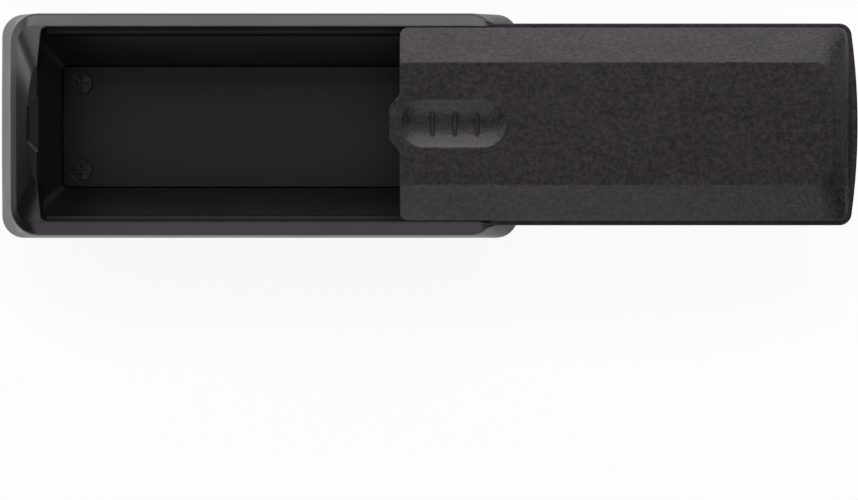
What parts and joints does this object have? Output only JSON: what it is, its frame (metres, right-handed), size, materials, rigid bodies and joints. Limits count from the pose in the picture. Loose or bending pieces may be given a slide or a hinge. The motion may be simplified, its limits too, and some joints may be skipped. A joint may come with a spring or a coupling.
{
  "type": "magnetic key holder box",
  "caption": "Flat magnetic box that hides keys: a moulded case with magnets under its floor and a crowned lid that slides open lengthways, with a ribbed thumb scoop and tab.",
  "frame": {"origin": "centre of the case's flat back face, the face that the magnets hold against steel", "axes": "+X the way the lid slides open, +Y across the box, +Z from the back face towards the lid"},
  "size_m": [0.182, 0.0484, 0.024],
  "materials": {
    "case_plastic": "satin",
    "lid_plastic": "matte",
    "cover_plastic": "matte",
    "ferrite": "matte",
    "pole_steel": "satin",
    "screw_steel": "satin"
  },
  "bodies": {
    "case": {"case_shell": "case_plastic", "magnet_cover": "cover_plastic", "magnet_left": "ferrite", "magnet_right": "ferrite", "pole_plate_left_upper": "pole_steel", "pole_plate_left_lower": "pole_steel", "pole_plate_right_upper": "pole_steel", "pole_plate_right_lower": "pole_steel", "cover_screw_1": "screw_steel", "cover_screw_2": "screw_steel", "cover_screw_3": "screw_steel", "cover_screw_4": "screw_steel"},
    "lid": {"slide_lid": "lid_plastic"}
  },
  "joints": [
    {"name": "lid_slide", "type": "slide", "parent": "case", "child": "lid", "axis": [1, 0, 0], "range_m": [-0.074, 0.01]}
  ]
}
